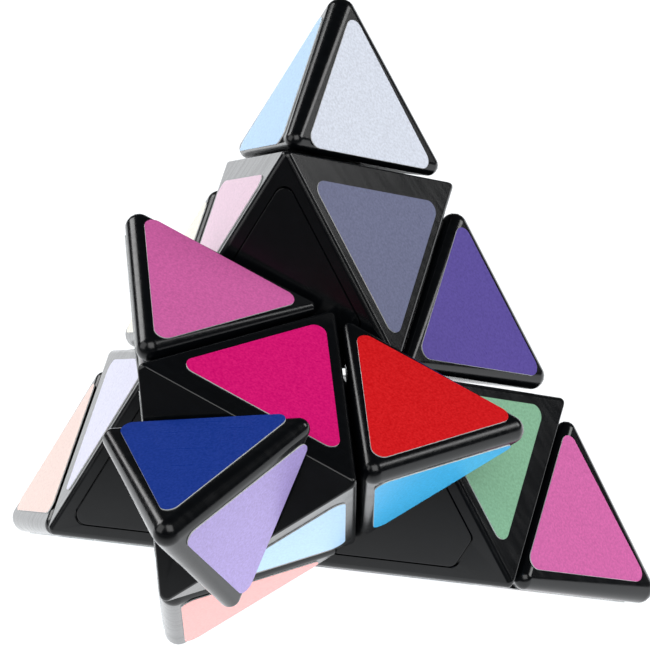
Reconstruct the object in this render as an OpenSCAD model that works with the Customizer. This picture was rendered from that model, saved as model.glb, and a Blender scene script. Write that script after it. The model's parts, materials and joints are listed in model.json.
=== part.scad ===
// Pyramid twisty puzzle: a four-cornered pyramid cut into four turning tips,
// four eight-sided corner blocks and six edge blocks around a four-armed core.
// It is first laid out upright around its centre, with one corner straight up
// and one towards -Y. Its front layer and front tip are then turned, and the
// whole puzzle leans back until it stands on the left tip, the right tip and
// the lowest corner of the turned front layer.

/* [Overall] */
// Edge length of the whole pyramid, measured over the films
edge_len = 98; // [78:1:130]
// Turn of the front layer about its own corner
front_layer_turn = 36.5; // [25:0.1:45]
// Further turn of the front tip on its layer
front_tip_turn = 32.9; // [0:0.1:119]

/* [Cuts] */
// Gap between two layers
layer_gap = 0.6; // [0.3:0.05:1]
// Gap between a tip and the block under it
tip_gap = 0.5; // [0.3:0.05:1]
// Wall thickness of the hollow blocks
wall = 2; // [1.4:0.1:2.6]

/* [Rounding] */
// Radius at the outermost point of a tip
tip_point_r = 2; // [1:0.1:3]
// Radius at the foot of a tip
tip_rim_r = 1.4; // [0.4:0.1:1.6]
// Radius at the outer ends of an edge block
edge_end_r = 1.8; // [0.8:0.1:3]
// Radius at the inner ends of an edge block
edge_root_r = 1; // [0.4:0.1:1.6]
// Radius along the sides of a corner block
axial_r = 0.9; // [0.3:0.1:1.4]

/* [Films] */
// Thickness of the coloured films
film_t = 0.15; // [0.1:0.01:0.25]
// Corner radius of the films
film_corner_r = 1.4; // [0.5:0.1:3]
// Tip film: margin along the pyramid's edges
tip_film_out = 3.2; // [1.5:0.1:4.5]
// Tip film: margin along the cut below it
tip_film_cut = 1; // [0.6:0.1:2.5]
// Edge film: margin along the pyramid's edge
edge_film_out = 2.9; // [1.5:0.1:4.5]
// Edge film: margin along the two cuts
edge_film_cut = 2.2; // [1.2:0.1:3.5]
// Corner block film: margin along the cut under the tip
axial_film_tip = 3.5; // [1.5:0.1:4.5]
// Corner block film: margin along the other two cuts
axial_film_cut = 1.9; // [1.2:0.1:3.5]

/* [Side covers] */
// Margin of a side cover from the sides of its face
cover_margin = 2; // [1.8:0.1:3.6]
// Thickness of a side cover
cover_t = 1.2; // [0.8:0.1:1.6]
// Width of the ledge that a side cover rests on
cover_ledge = 1.2; // [0.8:0.1:2]
// Corner radius of a side cover
cover_corner_r = 1.4; // [0.5:0.1:2.2]
// Length cut off the corner of the one keyed cover of each corner block
cover_key = 4.3; // [2.5:0.1:5]
// Slit around a side cover
cover_slit = 0.15; // [0.05:0.01:0.3]
// Least material between a side cover and the central hollow
cover_rim = 0.7; // [0.5:0.1:1.5]

/* [Mechanism] */
// Radius of the hollow at the centre, in which the feet slide
cavity_r = 14.5; // [13.5:0.1:17.5]
// Clearance between the feet and the hollow
foot_gap = 0.3; // [0.2:0.05:0.5]
// Thickness of a foot
foot_t = 2.6; // [1.8:0.1:3]
// Half angle of a foot, seen from the centre
foot_angle = 14; // [11:0.5:18]
// Radius of a foot's neck
neck_r = 2; // [1.5:0.1:2.4]
// Length of the neck inside its block
neck_len = 6; // [4:0.1:8]
// Clearance of the neck in its block
neck_fit = 0.05; // [0.02:0.01:0.1]
// Radius of the core's ball
ball_r = 8; // [6:0.1:10]
// Radius of the core's arms
arm_r = 4.6; // [4:0.1:5.2]
// Distance from the centre to the shoulder at an arm's end
shoulder_at = 11.4; // [10.5:0.1:12.5]
// Radius of the spigot that a corner block turns on
spigot_r = 3; // [2.5:0.1:3.5]
// Length of that spigot
spigot_len = 4; // [2.5:0.1:5]
// Radius of a corner block's hub
hub_r = 5.4; // [4.8:0.1:5.8]
// Radial clearance of every turning fit
run_fit = 0.06; // [0.02:0.01:0.1]
// Clearance between faces that turn on each other
face_gap = 0.1; // [0.05:0.01:0.2]

/* [Tip bearing] */
// Thickness of the plate that closes a tip
plate_t = 1.6; // [1.2:0.1:2.4]
// Clearance of that plate inside its tip
plate_fit = 0.05; // [0.02:0.01:0.1]
// Outer radius of the bearing cup
cup_r = 5; // [4.6:0.1:5.6]
// Inner radius of the bearing cup
cup_bore_r = 3.8; // [3.5:0.1:4.2]
// Depth of the cup below the cut
cup_depth = 5.8; // [5:0.1:7]
// Thickness of the cup's floor
cup_floor = 1.4; // [1:0.1:2]
// Wall around the cup in the corner block
cup_wall = 1.3; // [1:0.1:2]

/* [Screw and spring] */
// Radius of the screw's shank
screw_r = 1.5; // [1.2:0.05:1.7]
// Bite of the thread into the core
thread_bite = 0.05; // [0.02:0.01:0.1]
// Distance from the centre to the screw's end
screw_end_at = 6; // [5:0.1:8]
// Radius of the screw's head
head_r = 3; // [2.8:0.1:3.3]
// Height of the screw's head
head_h = 1.8; // [1.4:0.1:2.4]
// Length of the fitted spring
spring_len = 4; // [3:0.1:5]
// Turns of the spring
spring_turns = 4; // [3:1:5]
// Mean radius of the spring
spring_r = 2.5; // [2.3:0.05:2.7]
// Radius of the spring's wire
wire_r = 0.25; // [0.2:0.01:0.3]
// Thickness of the washer under the spring
washer_t = 0.4; // [0.3:0.05:0.6]
// Outer radius of that washer
washer_r = 3.4; // [3:0.1:3.6]

/* [Hidden] */

$fn = 48;
// Fineness of the spheres that round the blocks
round_fn = 24;
// A length that reaches through the whole puzzle
far = 2 * edge_len;

// Directions from the centre to the four corners
TOP = [0, 0, 1];
FRONT = [0, -sqrt(8) / 3, -1 / 3];
LEFT = [-sqrt(2 / 3), sqrt(2) / 3, -1 / 3];
RIGHT = [sqrt(2 / 3), sqrt(2) / 3, -1 / 3];
CORNERS = [TOP, FRONT, LEFT, RIGHT];

// Distances from the centre
corner_at = edge_len * sqrt(6) / 4;
face_at = corner_at / 3;
tip_at = corner_at * 5 / 9;
layer_at = corner_at / 9;
skin_at = face_at - film_t;
// Inner radius of each of the nine triangles on a face
cell_in_r = edge_len / (6 * sqrt(3));

// Heights along a corner's axis
tip_foot_at = tip_at + tip_gap / 2;
axial_top_at = tip_at - tip_gap / 2;
cup_end_at = tip_at - cup_depth;
hub_foot_at = shoulder_at + face_gap;
spigot_end_at = shoulder_at + spigot_len;
washer_at = cup_end_at + cup_floor;
spring_at = washer_at + washer_t;
head_at = spring_at + spring_len;
screw_hole_r = screw_r + run_fit;

// The films' colours by face: the face is named by the corner opposite to it
white = [0.82, 0.86, 0.9];
slate = [0.43, 0.45, 0.56];
violet = [0.36, 0.3, 0.61];
green = [0.51, 0.69, 0.56];
pink = [0.82, 0.42, 0.65];
magenta = [0.84, 0.04, 0.44];
red = [0.85, 0.12, 0.12];
sky = [0.24, 0.69, 0.89];
navy = [0.02, 0.21, 0.53];
ice = [0.74, 0.87, 0.96];
cream = [0.94, 0.91, 0.84];
lavender = [0.84, 0.83, 0.95];
blush = [0.93, 0.85, 0.91];
peach = [0.95, 0.88, 0.86];
salmon = [0.99, 0.76, 0.77];
lilac = [0.73, 0.68, 0.87];
shell_black = [0.06, 0.06, 0.07];
steel = [0.7, 0.7, 0.72];

// ---------- solving planes and corners ----------

// A plane is [outward normal, distance from the centre]
function others(x) = [for (c = CORNERS) if (c != x) c];
function unit(v) = v / norm(v);
function det(a, b, c) = a * cross(b, c);
function meet(p, q, s, inset) = (
    (p[1] - inset) * cross(q[0], s[0])
    + (q[1] - inset) * cross(s[0], p[0])
    + (s[1] - inset) * cross(p[0], q[0])
) / det(p[0], q[0], s[0]);
function within(pt, planes, inset) =
    len([for (p = planes) if (p[0] * pt > p[1] - inset + 1e-6) 1]) == 0;
function corners(planes, inset) = [
    for (i = [0 : len(planes) - 3], j = [i + 1 : len(planes) - 2], k = [j + 1 : len(planes) - 1])
        if (abs(det(planes[i][0], planes[j][0], planes[k][0])) > 1e-6)
            let (pt = meet(planes[i], planes[j], planes[k], inset))
                if (within(pt, planes, inset)) pt
];

// Planes of a hollow block's outside; inset moves its skin planes inwards
function skin(x, inset = 0) = [-x, skin_at - inset];
function tip_planes(x) = concat(
    [for (y = others(x)) skin(y)],
    [[-x, -tip_foot_at]]
);
// The corner block's sides, without the flat top under the tip
function axial_planes(x) = concat(
    [for (y = others(x)) skin(y)],
    [for (y = others(x)) [y, layer_at - layer_gap / 2]],
    [[-x, -(layer_at + layer_gap / 2)]]
);
function edge_planes(x, y) = concat(
    [for (z = CORNERS) if (z != x && z != y) skin(z)],
    [for (z = [x, y]) [-z, -(layer_at + layer_gap / 2)]]
);

// ---------- how the puzzle leans ----------

function spin_about(v, axis, angle) =
    v * cos(angle) + cross(axis, v) * sin(angle) + axis * (axis * v) * (1 - cos(angle));
// It stands on the rounded edge between the left and right corners, and on the
// outer corner of the front left edge block; these are the centres of the two
rest_centre = meet(skin(TOP), skin(FRONT), [[1, 0, 0], axial_r], axial_r);
low_edge_ends = [
    for (p = corners(edge_planes(FRONT, LEFT), edge_end_r))
        if (p * unit(FRONT + LEFT) > face_at && p * LEFT > p * FRONT) p
];
low_centre = spin_about(low_edge_ends[0], FRONT, front_layer_turn);
rest_run = rest_centre - low_centre;
lean = atan2(rest_run.z, rest_run.y)
    - asin((axial_r - edge_end_r) / norm([rest_run.y, rest_run.z]));

function leaned(v) = [v.x, v.y * cos(lean) + v.z * sin(lean), v.z * cos(lean) - v.y * sin(lean)];
tip_round_at = 3 * (skin_at - tip_point_r);
lowest = leaned(rest_centre).z - axial_r;
rearmost = leaned(TOP * tip_round_at).y + tip_point_r;
foremost = leaned(FRONT * tip_round_at).y - tip_point_r;

module standing() {
    translate([0, -(rearmost + foremost) / 2, -lowest])
        rotate([-lean, 0, 0])
            children();
}

// Each block's place in the resting puzzle: still, or turned with the front layer
module fixed() standing() children();
module turned() standing() rotate(a = front_layer_turn, v = FRONT) children();
module tip_turned() standing() rotate(a = front_layer_turn + front_tip_turn, v = FRONT) children();

// ---------- building tools ----------

// Turns +Z to direction v
module along(v) {
    rotate([0, acos(v.z / norm(v)), atan2(v.y, v.x)])
        children();
}

// A flat shape's place: x to the right of up, z along the outward normal
module on_plane(centre, up, normal) {
    side = cross(up, normal);
    multmatrix([
        [side.x, up.x, normal.x, centre.x],
        [side.y, up.y, normal.y, centre.y],
        [side.z, up.z, normal.z, centre.z],
        [0, 0, 0, 1]
    ])
        children();
}

module half_space(plane) {
    along(plane[0])
        translate([-far / 2, -far / 2, plane[1] - far])
            cube(far);
}

module flat_sided(planes) {
    intersection_for(p = planes)
        half_space(p);
}

// A block whose corners are rounded: by r_out past the level along
// direction dir, and by r_in before it
module rounded_block(planes, dir, level, r_out, r_in) {
    hull() {
        for (p = corners(planes, r_out))
            if (p * dir > level)
                translate(p) sphere(r = r_out, $fn = round_fn);
        for (p = corners(planes, r_in))
            if (p * dir <= level)
                translate(p) sphere(r = r_in, $fn = round_fn);
    }
}

// A triangle of one cell, apex towards +Y, with margins from the base and sides
// and with its apex cut off by the length key
function cell_triangle(base_margin, side_margin, key) = let (
    low = base_margin - cell_in_r,
    high = 2 * (cell_in_r - side_margin),
    half = (high - low) * tan(30),
    cut = key * tan(30)
) concat(
    [[half, low]],
    key > 0 ? [[cut, high - key], [-cut, high - key]] : [[0, high]],
    [[-half, low]]
);

// Rounds the corners of a convex outline given in anticlockwise order
function round_outline(pts, r, steps = 8) = [
    for (i = [0 : len(pts) - 1])
        let (
            here = pts[i],
            before = unit(pts[(i + len(pts) - 1) % len(pts)] - here),
            after = unit(pts[(i + 1) % len(pts)] - here),
            angle = acos(before * after),
            centre = here + unit(before + after) * r / sin(angle / 2),
            start = atan2(before.x, -before.y)
        )
            for (s = [0 : steps])
                let (here_at = start + (180 - angle) * s / steps)
                    centre + r * [cos(here_at), sin(here_at)]
];

module cell_plate(base_margin, side_margin, corner_r, thickness, key = 0) {
    linear_extrude(thickness)
        polygon(round_outline(cell_triangle(base_margin, side_margin, key), corner_r));
}

// A wire wound into a closed-ended coil on the Z axis
module coil(mean_r, wire, length, turns) {
    sides = 6;
    steps = 16 * turns;
    rise = length - 2 * wire;
    points = [
        for (i = [0 : steps])
            let (turn = 360 * turns * i / steps, z = wire + rise * i / steps)
                for (s = [0 : sides - 1])
                    let (reach = mean_r + wire * cos(360 * s / sides))
                        [reach * cos(turn), reach * sin(turn), z + wire * sin(360 * s / sides)]
    ];
    faces = concat(
        [[for (s = [0 : sides - 1]) s]],
        [
            for (i = [0 : steps - 1], s = [0 : sides - 1])
                let (a = i * sides + s, b = i * sides + (s + 1) % sides)
                    each [[a, a + sides, b], [b, a + sides, b + sides]]
        ],
        [[for (s = [sides - 1 : -1 : 0]) steps * sides + s]]
    );
    polyhedron(points, faces);
}

// ---------- centre ----------

module core_shape() {
    // The arms start inside the ball, clear of one another
    arm_from = ball_r * 0.7;
    difference() {
        union() {
            sphere(r = ball_r);
            for (x = CORNERS)
                along(x) {
                    translate([0, 0, arm_from])
                        cylinder(r = arm_r, h = shoulder_at - arm_from);
                    translate([0, 0, shoulder_at - face_gap])
                        cylinder(r = spigot_r, h = spigot_len + face_gap);
                }
        }
        for (x = CORNERS)
            along(x)
                translate([0, 0, screw_end_at - 0.5])
                    cylinder(r = screw_r - thread_bite, h = far);
    }
}

// The front corner's fixings keep still with the core
module axle_screw() {
    slot_w = head_r / 3;
    difference() {
        union() {
            translate([0, 0, screw_end_at])
                cylinder(r = screw_r, h = head_at - screw_end_at);
            translate([0, 0, head_at])
                cylinder(r = head_r, h = head_h);
        }
        for (a = [0, 90])
            rotate([0, 0, a])
                translate([-head_r * 0.6, -slot_w / 2, head_at + head_h / 2])
                    cube([head_r * 1.2, slot_w, head_h]);
    }
}

module spring_washer() {
    translate([0, 0, washer_at])
        difference() {
            cylinder(r = washer_r, h = washer_t);
            translate([0, 0, -washer_t])
                cylinder(r = screw_hole_r, h = 3 * washer_t);
        }
}

module spring() {
    translate([0, 0, spring_at])
        coil(spring_r, wire_r, spring_len, spring_turns);
}

// ---------- tips ----------

module tip_cap(x) {
    difference() {
        rounded_block(tip_planes(x), x, tip_at + tip_gap + 2 * tip_point_r, tip_point_r, tip_rim_r);
        flat_sided(concat([for (y = others(x)) skin(y, wall)], [[-x, -axial_top_at]]));
    }
}

// Plate that closes a tip, with the cup that turns in the corner block
module tip_base(x) {
    plate_planes = concat(
        [for (y = others(x)) skin(y, wall + plate_fit)],
        [[-x, -tip_foot_at], [x, tip_foot_at + plate_t]]
    );
    difference() {
        union() {
            flat_sided(plate_planes);
            along(x)
                translate([0, 0, cup_end_at])
                    cylinder(r = cup_r, h = tip_foot_at + plate_t / 2 - cup_end_at);
        }
        along(x) {
            translate([0, 0, washer_at])
                cylinder(r = cup_bore_r, h = far);
            cylinder(r = screw_hole_r, h = far);
        }
    }
}

// ---------- corner blocks ----------

// Places a shape on the side of corner block x that faces corner y
module on_side(x, y) {
    on_plane(
        face_at * x + (2 / 3 * face_at - layer_gap / 2) * y,
        unit(x + y / 3),
        y
    )
        children();
}

// Side covers keep clear of the central hollow
side_level = layer_at - layer_gap / 2;
hollow_reach = sqrt(cavity_r * cavity_r - side_level * side_level);
cover_base_margin = max(cover_margin, hollow_reach + cover_rim - cell_in_r);

// The side that bears the keyed cover of corner block x
function keyed_side(x) = x == TOP ? LEFT : x == FRONT ? RIGHT : x == LEFT ? TOP : FRONT;

module cover_plate(x, y, shrink, depth, thickness) {
    on_side(x, y)
        translate([0, 0, -depth])
            cell_plate(cover_base_margin + shrink, cover_margin + shrink, cover_corner_r,
                thickness, y == keyed_side(x) ? cover_key : 0);
}

module axial_body(x) {
    hub_top_at = cup_end_at - face_gap;
    difference() {
        union() {
            difference() {
                intersection() {
                    rounded_block(axial_planes(x), x, 0, axial_r, axial_r);
                    half_space([x, axial_top_at]);
                }
                sphere(r = cavity_r);
                difference() {
                    flat_sided(concat(
                        [for (p = axial_planes(x)) [p[0], p[1] - wall]],
                        [[x, axial_top_at - wall]]
                    ));
                    sphere(r = cavity_r + wall);
                }
            }
            along(x) {
                translate([0, 0, hub_foot_at])
                    cylinder(r = hub_r, h = hub_top_at - hub_foot_at);
                translate([0, 0, hub_top_at - wall])
                    cylinder(r = cup_r + cup_wall, h = axial_top_at - wall / 2 - hub_top_at + wall);
            }
        }
        along(x) {
            cylinder(r = spigot_r + run_fit, h = spigot_end_at + face_gap);
            cylinder(r = screw_hole_r, h = far);
            translate([0, 0, hub_top_at])
                cylinder(r = cup_r + run_fit, h = far);
        }
        for (y = others(x)) {
            cover_plate(x, y, -cover_slit, cover_t, far);
            difference() {
                cover_plate(x, y, cover_ledge, wall + axial_r, far);
                along(x)
                    cylinder(r = cup_r + cup_wall, h = far);
            }
        }
    }
}

module axial_covers(x) {
    for (y = others(x))
        cover_plate(x, y, 0, cover_t, cover_t);
}

// ---------- edge blocks ----------

// The root of an edge block is solid as far as the foot's neck goes in
module edge_body(x, y) {
    dir = unit(x + y);
    middle = (corner_at * norm(x + y) / 2 + layer_at * 2 / norm(x + y)) / 2;
    pocket_r = (cavity_r - foot_gap) * sin(foot_angle) + foot_gap;
    difference() {
        rounded_block(edge_planes(x, y), dir, middle, edge_end_r, edge_root_r);
        flat_sided(concat(
            [for (p = edge_planes(x, y)) [p[0], p[1] - wall]],
            [[-dir, -(cavity_r + neck_len)]]
        ));
        along(dir) {
            cylinder(r = pocket_r, h = cavity_r);
            cylinder(r = neck_r + neck_fit, h = cavity_r + neck_len + wall);
        }
    }
}

// Foot that the neighbouring corner blocks hold down, with its neck
module edge_foot(x, y) {
    top = cavity_r - foot_gap;
    along(unit(x + y)) {
        intersection() {
            difference() {
                sphere(r = top);
                sphere(r = top - foot_t);
            }
            cylinder(r1 = 0, r2 = cavity_r * tan(foot_angle), h = cavity_r);
        }
        translate([0, 0, top - foot_t / 2])
            cylinder(r = neck_r, h = neck_len + foot_gap + foot_t / 2);
    }
}

// ---------- films ----------

// A film on the face opposite corner z, on the cell with these three corners;
// up points from the cell's middle to its first corner
module film(z, cell, base_margin, side_margin, shade) {
    centre = (cell[0] + cell[1] + cell[2]) / 3;
    flat_centre = centre + z * (centre * z + face_at) * -1;
    color(shade)
        on_plane(flat_centre - z * (face_at - film_t) - z * (flat_centre * z), unit(cell[0] - centre), -z)
            cell_plate(base_margin, side_margin, film_corner_r, film_t);
}

// Point a third of the way from corner x to corner y
function third(x, y) = corner_at * (2 * x + y) / 3;

module tip_films(x, shades) {
    for (i = [0 : 2]) {
        z = others(x)[i];
        rest = [for (y = others(x)) if (y != z) y];
        film(z, [corner_at * x, third(x, rest[0]), third(x, rest[1])],
            tip_film_cut, tip_film_out, shades[i]);
    }
}

module axial_films(x, shades) {
    for (i = [0 : 2]) {
        z = others(x)[i];
        rest = [for (y = others(x)) if (y != z) y];
        film(z, [-face_at * z, third(x, rest[0]), third(x, rest[1])],
            axial_film_tip, axial_film_cut, shades[i]);
    }
}

module edge_films(x, y, shades) {
    sides = [for (z = CORNERS) if (z != x && z != y) z];
    for (i = [0 : 1])
        film(sides[i], [-face_at * sides[i], third(x, y), third(y, x)],
            edge_film_out, edge_film_cut, shades[i]);
}

// ---------- named pieces ----------

module core() fixed() color(shell_black) core_shape();
module axle_screws() fixed() color(steel) for (x = CORNERS) along(x) axle_screw();
module springs() fixed() color(steel) for (x = CORNERS) along(x) spring();
module spring_washers() fixed() color(steel) for (x = CORNERS) along(x) spring_washer();

module top_tip_cap() fixed() color(shell_black) tip_cap(TOP);
module left_tip_cap() fixed() color(shell_black) tip_cap(LEFT);
module right_tip_cap() fixed() color(shell_black) tip_cap(RIGHT);
module front_tip_cap() tip_turned() color(shell_black) tip_cap(FRONT);

module top_tip_base() fixed() color(shell_black) tip_base(TOP);
module left_tip_base() fixed() color(shell_black) tip_base(LEFT);
module right_tip_base() fixed() color(shell_black) tip_base(RIGHT);
module front_tip_base() tip_turned() color(shell_black) tip_base(FRONT);

module top_axial() fixed() color(shell_black) axial_body(TOP);
module left_axial() fixed() color(shell_black) axial_body(LEFT);
module right_axial() fixed() color(shell_black) axial_body(RIGHT);
module front_axial() turned() color(shell_black) axial_body(FRONT);

module top_axial_covers() fixed() color(shell_black) axial_covers(TOP);
module left_axial_covers() fixed() color(shell_black) axial_covers(LEFT);
module right_axial_covers() fixed() color(shell_black) axial_covers(RIGHT);
module front_axial_covers() turned() color(shell_black) axial_covers(FRONT);

module top_left_edge() fixed() color(shell_black) edge_body(TOP, LEFT);
module top_right_edge() fixed() color(shell_black) edge_body(TOP, RIGHT);
module left_right_edge() fixed() color(shell_black) edge_body(LEFT, RIGHT);
module front_top_edge() turned() color(shell_black) edge_body(FRONT, TOP);
module front_left_edge() turned() color(shell_black) edge_body(FRONT, LEFT);
module front_right_edge() turned() color(shell_black) edge_body(FRONT, RIGHT);

module top_left_foot() fixed() color(shell_black) edge_foot(TOP, LEFT);
module top_right_foot() fixed() color(shell_black) edge_foot(TOP, RIGHT);
module left_right_foot() fixed() color(shell_black) edge_foot(LEFT, RIGHT);
module front_top_foot() turned() color(shell_black) edge_foot(FRONT, TOP);
module front_left_foot() turned() color(shell_black) edge_foot(FRONT, LEFT);
module front_right_foot() turned() color(shell_black) edge_foot(FRONT, RIGHT);

// The shades of a piece follow the order of CORNERS for the faces opposite to them
module top_tip_films() fixed() tip_films(TOP, [navy, white, ice]);
module left_tip_films() fixed() tip_films(LEFT, [sky, green, peach]);
module right_tip_films() fixed() tip_films(RIGHT, [red, violet, pink]);
module front_tip_films() tip_turned() tip_films(FRONT, [lilac, navy, slate]);

module top_axial_films() fixed() axial_films(TOP, [magenta, slate, blush]);
module left_axial_films() fixed() axial_films(LEFT, [violet, pink, lavender]);
module right_axial_films() fixed() axial_films(RIGHT, [sky, cream, green]);
module front_axial_films() turned() axial_films(FRONT, [ice, magenta, white]);

module top_left_edge_films() fixed() edge_films(TOP, LEFT, [slate, cream]);
module top_right_edge_films() fixed() edge_films(TOP, RIGHT, [red, violet]);
module left_right_edge_films() fixed() edge_films(LEFT, RIGHT, [pink, slate]);
module front_top_edge_films() turned() edge_films(FRONT, TOP, [pink, red]);
module front_left_edge_films() turned() edge_films(FRONT, LEFT, [salmon, green]);
module front_right_edge_films() turned() edge_films(FRONT, RIGHT, [sky, red]);

core();
axle_screws();
springs();
spring_washers();
top_tip_cap();
left_tip_cap();
right_tip_cap();
front_tip_cap();
top_tip_base();
left_tip_base();
right_tip_base();
front_tip_base();
top_axial();
left_axial();
right_axial();
front_axial();
top_axial_covers();
left_axial_covers();
right_axial_covers();
front_axial_covers();
top_left_edge();
top_right_edge();
left_right_edge();
front_top_edge();
front_left_edge();
front_right_edge();
top_left_foot();
top_right_foot();
left_right_foot();
front_top_foot();
front_left_foot();
front_right_foot();
top_tip_films();
left_tip_films();
right_tip_films();
front_tip_films();
top_axial_films();
left_axial_films();
right_axial_films();
front_axial_films();
top_left_edge_films();
top_right_edge_films();
left_right_edge_films();
front_top_edge_films();
front_left_edge_films();
front_right_edge_films();
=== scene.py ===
"""Looks of a pyramid twisty puzzle, built around its fixed, jointed frame."""

import json
import logging
import math
from collections.abc import Callable, Iterable
from dataclasses import dataclass, field
from enum import Enum
from itertools import combinations
from typing import ClassVar

import bmesh
import bpy
from mathutils import Matrix, Vector

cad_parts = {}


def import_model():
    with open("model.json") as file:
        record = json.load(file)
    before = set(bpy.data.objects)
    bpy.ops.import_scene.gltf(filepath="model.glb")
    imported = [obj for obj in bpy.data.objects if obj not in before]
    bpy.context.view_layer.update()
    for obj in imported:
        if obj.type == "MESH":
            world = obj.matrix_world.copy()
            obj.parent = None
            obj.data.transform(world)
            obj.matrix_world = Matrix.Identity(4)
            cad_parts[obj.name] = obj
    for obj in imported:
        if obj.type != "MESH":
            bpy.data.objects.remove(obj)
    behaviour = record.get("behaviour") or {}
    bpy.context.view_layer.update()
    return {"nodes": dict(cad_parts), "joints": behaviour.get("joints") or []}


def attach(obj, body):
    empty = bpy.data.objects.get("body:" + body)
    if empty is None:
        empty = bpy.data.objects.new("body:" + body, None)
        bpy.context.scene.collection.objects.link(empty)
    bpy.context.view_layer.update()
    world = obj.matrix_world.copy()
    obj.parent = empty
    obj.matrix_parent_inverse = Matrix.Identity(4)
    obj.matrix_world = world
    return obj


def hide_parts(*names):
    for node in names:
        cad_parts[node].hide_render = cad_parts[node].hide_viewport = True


LOG = logging.getLogger("pyramid_puzzle")
MM = 0.001
Colour = tuple[float, float, float]
Plane = tuple[Vector, float]
Fill = Callable[[bmesh.types.BMesh], None]
Socket = bpy.types.NodeSocket
WELD = 2e-6
PARALLEL = 1e-6
TOUCHING = 1e-8


class Corner(Enum):
    """The four corners of the pyramid, named as it is held upright."""

    TOP = "top"
    FRONT = "front"
    LEFT = "left"
    RIGHT = "right"


@dataclass(frozen=True)
class Sizes:
    """Driving dimensions of the blocks, in metres and degrees."""

    edge: float = 98 * MM
    layer_turn: float = 36.5
    tip_turn: float = 32.9
    layer_gap: float = 0.6 * MM
    tip_gap: float = 0.5 * MM
    wall: float = 2.0 * MM
    tip_point_r: float = 2.0 * MM
    tip_rim_r: float = 1.4 * MM
    edge_end_r: float = 1.8 * MM
    edge_root_r: float = 1.0 * MM
    axial_r: float = 0.9 * MM
    axial_lip_r: float = 0.22 * MM
    film_t: float = 0.15 * MM
    film_corner_r: float = 1.4 * MM
    cavity_r: float = 14.5 * MM
    pocket_r: float = 3.74 * MM
    neck_r: float = 2.05 * MM
    cup_r: float = 5.06 * MM
    cup_depth: float = 5.9 * MM
    screw_r: float = 1.56 * MM

    @property
    def corner_at(self) -> float:
        """Distance from the centre to a sharp corner."""
        return self.edge * math.sqrt(6) / 4

    @property
    def face_at(self) -> float:
        """Distance from the centre to a face, over the films."""
        return self.corner_at / 3

    @property
    def skin_at(self) -> float:
        """Distance from the centre to the plastic under the films."""
        return self.face_at - self.film_t

    @property
    def tip_at(self) -> float:
        """Height of the cut below a tip."""
        return self.corner_at * 5 / 9

    @property
    def layer_at(self) -> float:
        """Height of the cut below a layer."""
        return self.corner_at / 9

    @property
    def cell_in_r(self) -> float:
        """Inner radius of one of a face's nine triangles."""
        return self.edge / (6 * math.sqrt(3))


# ---------------------------------------------------------------- finishes


class NodeBoard:
    """A short way to add and join shader nodes of one material."""

    def __init__(self, name: str) -> None:
        """Make an empty node material.

        Args:
            name: the material's name.
        """
        self.material = bpy.data.materials.new(name)
        self.material.use_nodes = True
        self.tree = self.material.node_tree
        self.shader = self.tree.nodes["Principled BSDF"]
        self.place = self.add("ShaderNodeTexCoord").outputs["Object"]

    def add(self, kind: str, **settings: object) -> bpy.types.Node:
        """Add one node.

        Args:
            kind: Blender's name of the node type.
            **settings: attributes to set on the node.

        Returns:
            The new node.
        """
        node = self.tree.nodes.new(kind)
        for key, value in settings.items():
            setattr(node, key, value)
        return node

    def join(self, source: Socket, target: Socket) -> None:
        """Link one socket to another."""
        self.tree.links.new(source, target)

    def noise(self, scale: float, detail: float = 2.0, stretch: Vector | None = None) -> Socket:
        """Noise over the object's own space.

        Args:
            scale: grains per metre.
            detail: number of finer octaves.
            stretch: scale along each axis, for streaks.

        Returns:
            The noise's value socket.
        """
        texture = self.add("ShaderNodeTexNoise")
        texture.inputs["Scale"].default_value = scale
        texture.inputs["Detail"].default_value = detail
        source = self.place
        if stretch is not None:
            mapping = self.add("ShaderNodeMapping")
            mapping.inputs["Scale"].default_value = stretch
            mapping.inputs["Rotation"].default_value = (0.4, 0.7, 0.9)
            self.join(self.place, mapping.inputs["Vector"])
            source = mapping.outputs["Vector"]
        self.join(source, texture.inputs["Vector"])
        return texture.outputs["Fac"]

    def remap(self, value: Socket, low: float, high: float, to_low: float,
              to_high: float) -> Socket:
        """Map a value's range onto another.

        Args:
            value: the socket to read.
            low: value that becomes to_low.
            high: value that becomes to_high.
            to_low: result at low.
            to_high: result at high.

        Returns:
            The mapped value's socket.
        """
        node = self.add("ShaderNodeMapRange")
        ends = {"From Min": low, "From Max": high, "To Min": to_low, "To Max": to_high}
        for socket, number in ends.items():
            node.inputs[socket].default_value = number
        self.join(value, node.inputs["Value"])
        return node.outputs["Result"]

    def mix(self, factor: Socket, first: Colour, second: Colour) -> Socket:
        """Mix two colours by a factor.

        Args:
            factor: the socket that mixes them.
            first: colour at 0.
            second: colour at 1.

        Returns:
            The mixed colour's socket.
        """
        node = self.add("ShaderNodeMix", data_type="RGBA")
        for socket, colour in ((node.inputs[6], first), (node.inputs[7], second)):
            socket.default_value = (*colour, 1)
        self.join(factor, node.inputs[0])
        return node.outputs[2]

    def bump(self, height: Socket, distance: float, strength: float) -> None:
        """Drive the surface's relief from a height.

        Args:
            height: the height's socket.
            distance: depth of the relief in metres.
            strength: share of the relief that shows.
        """
        node = self.add("ShaderNodeBump")
        node.inputs["Distance"].default_value = distance
        node.inputs["Strength"].default_value = strength
        self.join(height, node.inputs["Height"])
        self.join(node.outputs["Normal"], self.shader.inputs["Normal"])


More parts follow.
